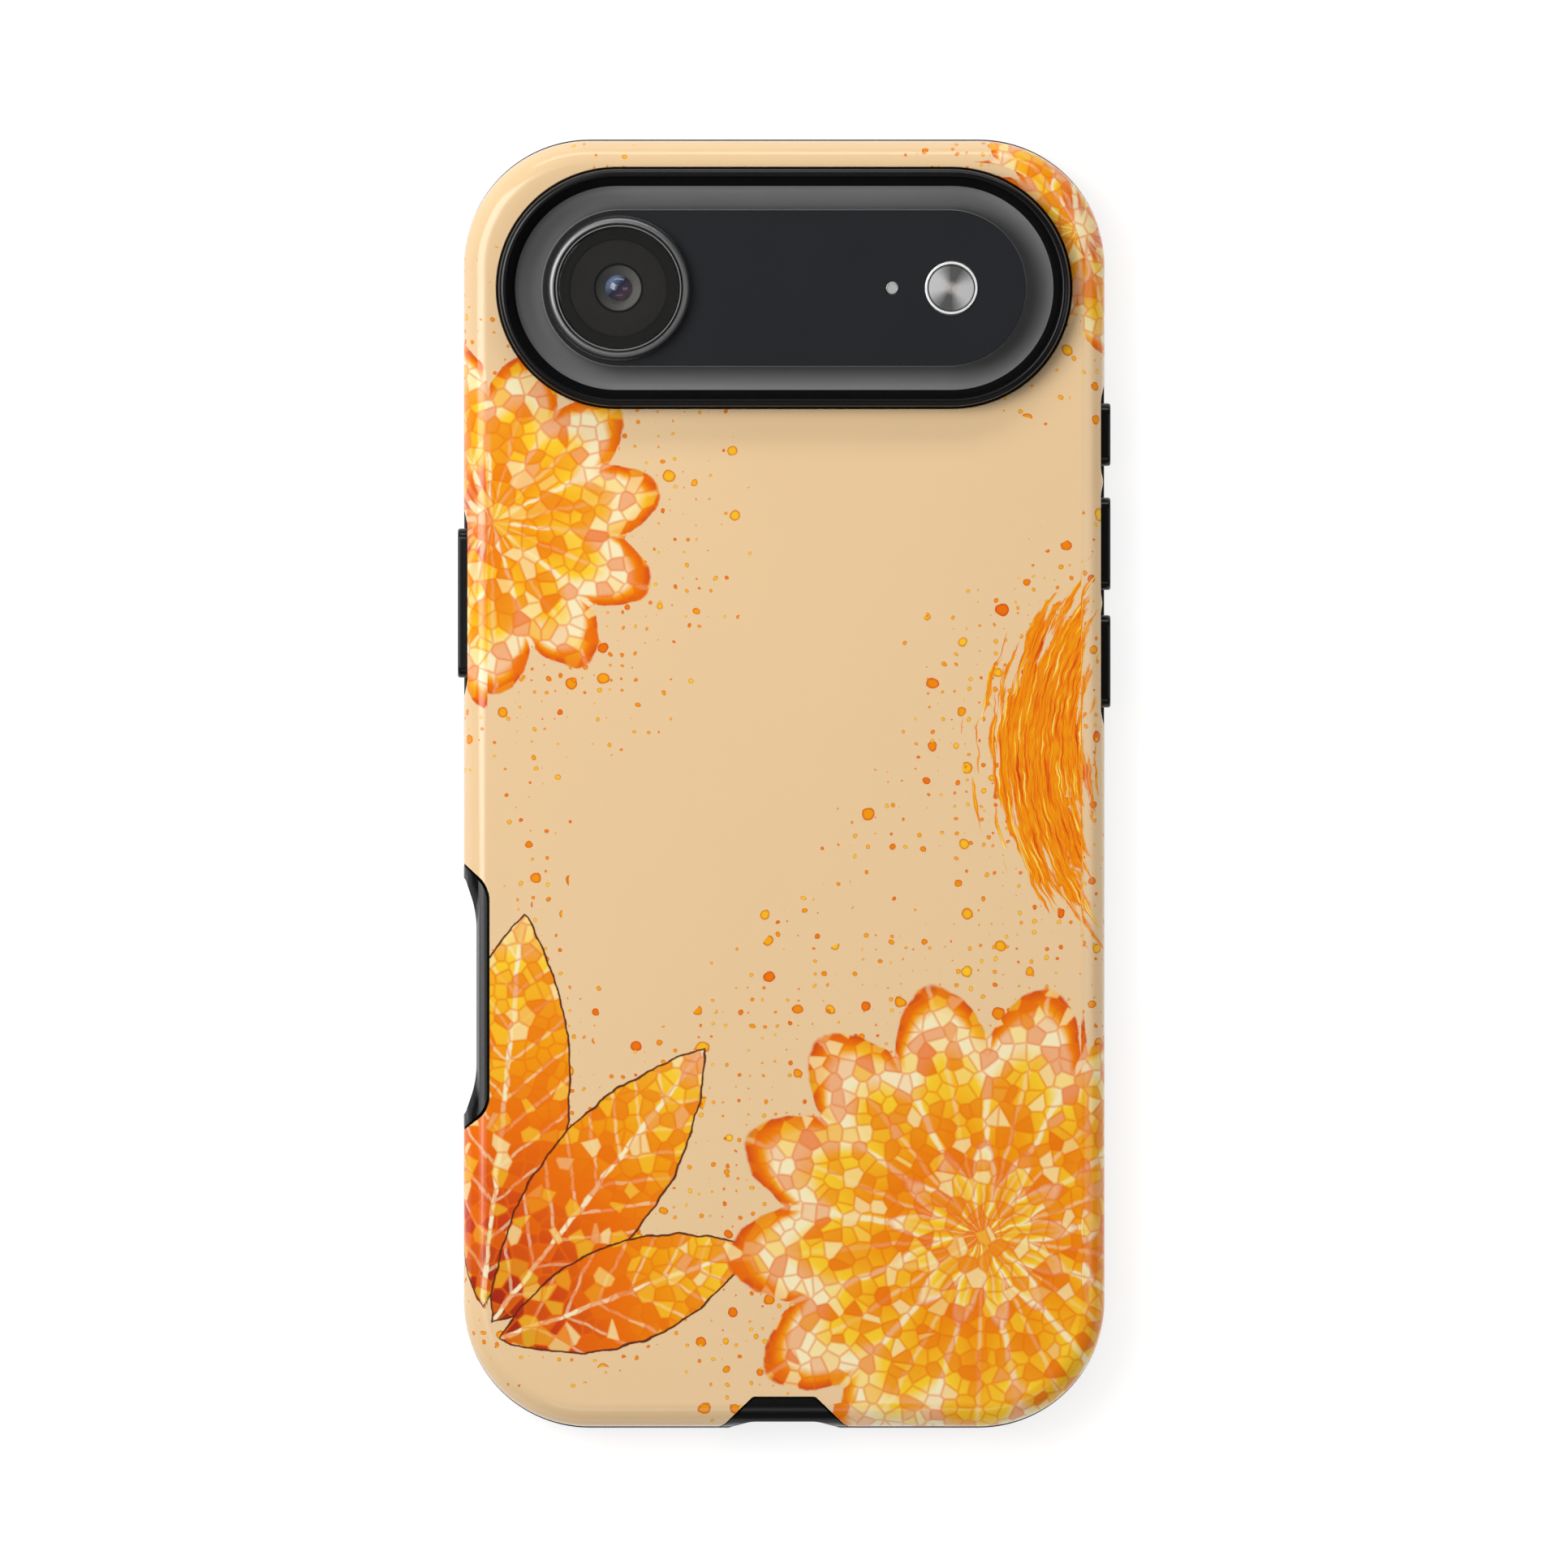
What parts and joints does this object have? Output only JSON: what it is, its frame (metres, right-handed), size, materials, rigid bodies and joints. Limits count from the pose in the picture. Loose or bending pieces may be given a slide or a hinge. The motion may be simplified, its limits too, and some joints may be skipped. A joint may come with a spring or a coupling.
{
  "type": "smartphone in a protective case",
  "caption": "Slim smartphone in a glossy printed two-layer protective case, with a raised camera rim, side button covers, a thumb dish and a charging opening.",
  "frame": {"origin": "middle of the footprint at the front lip of the case, which rests on z = 0", "axes": "+X across the phone, towards the side with three button covers; +Y along the phone, towards the camera; +Z out of the back"},
  "size_m": [0.0822, 0.1622, 0.0129],
  "materials": {
    "printed_shell": "glossy hard plastic, warm peach ground with printed fields of orange, amber and yellow",
    "black_rubber": "satin black moulded rubber",
    "frame_metal": "dark satin metal",
    "screen_glass": "black polished glass",
    "grey_back": "opaque satin grey glass",
    "plate_glass": "opaque black satin glass",
    "lens_metal": "polished dark grey metal",
    "lens_glass": "clear coated glass",
    "barrel_black": "matt black",
    "element_coating": "blue-violet coated glass",
    "bright_trim": "polished silver",
    "flash_silver": "silvery turned reflector under clear glass",
    "control_black": "black polished glass"
  },
  "bodies": {
    "root": {"outer_shell": "printed_shell", "inner_liner": "black_rubber", "phone_frame": "frame_metal", "screen_glass": "screen_glass", "back_panel": "grey_back", "camera_plate": "plate_glass", "lens_ring": "lens_metal", "lens_inner_ring": "lens_metal", "lens_glass": "lens_glass", "lens_barrel": "barrel_black", "lens_element": "element_coating", "flash_ring": "bright_trim", "flash_lens": "flash_silver", "mic_grille": "bright_trim", "side_control": "control_black"}
  },
  "joints": []
}
